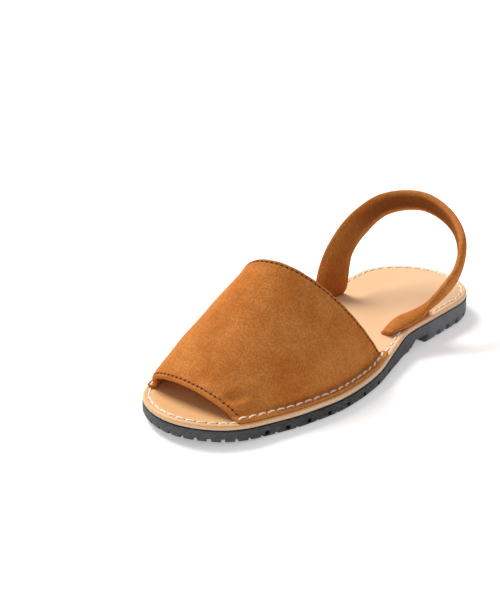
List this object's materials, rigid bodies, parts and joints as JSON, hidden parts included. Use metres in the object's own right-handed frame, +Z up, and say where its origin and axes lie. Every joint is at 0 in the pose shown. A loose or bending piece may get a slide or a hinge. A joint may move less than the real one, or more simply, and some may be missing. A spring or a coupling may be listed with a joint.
{
  "type": "avarca sandal",
  "caption": "Left open-toe sandal: arched suede upper stitched to a leather insole, folded suede heel strap, lugged rubber sole with a low heel.",
  "frame": {"origin": "middle of the sole's outline box, on the floor", "axes": "+Z up, toe towards -Y, heel towards +Y, lateral side of the left foot towards +X"},
  "size_m": [0.092, 0.2466, 0.0733],
  "materials": {
    "rubber": "matt moulded rubber, dark grey",
    "insole_leather": "smooth natural veg-tan leather, satin",
    "suede": "tan suede with a short nap"
  },
  "bodies": {
    "root": {"outsole": "rubber", "insole": "insole_leather", "upper": "suede", "heel_strap": "suede"}
  },
  "joints": []
}
